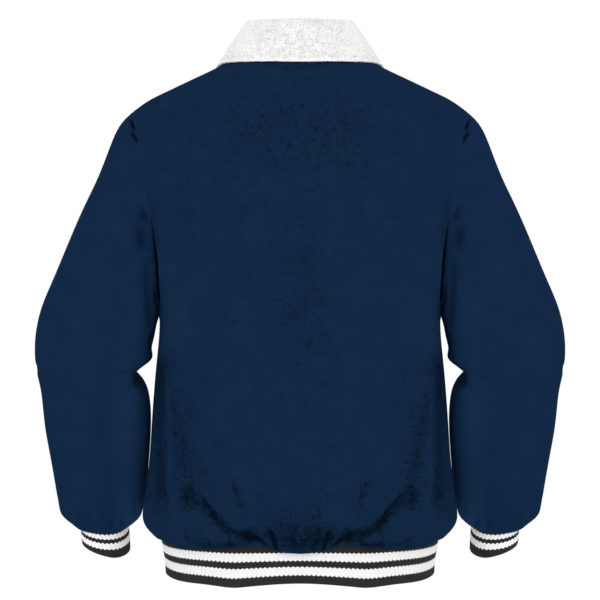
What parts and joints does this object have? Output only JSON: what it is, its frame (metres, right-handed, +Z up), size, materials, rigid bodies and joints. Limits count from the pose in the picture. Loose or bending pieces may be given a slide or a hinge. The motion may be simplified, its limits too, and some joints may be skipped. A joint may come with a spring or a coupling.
{
  "type": "varsity jacket, filled out and closed",
  "caption": "Navy varsity jacket, filled out and hollow: wool body, smooth leather sleeves, white turn-down collar, striped rib-knit cuffs and waistband, snap front.",
  "frame": {"origin": "midway between the two points where a shoulder seam meets the neck, level with them, inside the neck opening, where the wearer's shoulders and neck carry the jacket", "axes": "+Z up the jacket to its collar, +Y out of its front, +X to its right sleeve"},
  "size_m": [0.688, 0.3013, 0.722],
  "materials": {
    "navy_wool": "matt melton wool with a fine nap",
    "navy_leather": "smooth, low sheen",
    "white_pile": "nappy white wool",
    "striped_knit": "rib knit, charcoal with two white stripes",
    "snap_steel": "domed snap caps"
  },
  "bodies": {
    "root": {"back": "navy_wool", "front_left": "navy_wool", "front_right": "navy_wool", "sleeve_left": "navy_leather", "sleeve_right": "navy_leather", "cuff_left": "striped_knit", "cuff_right": "striped_knit", "waistband": "striped_knit", "collar": "white_pile", "snap_1": "snap_steel", "snap_2": "snap_steel", "snap_3": "snap_steel", "snap_4": "snap_steel", "snap_5": "snap_steel", "snap_6": "snap_steel", "snap_7": "snap_steel"}
  },
  "joints": []
}
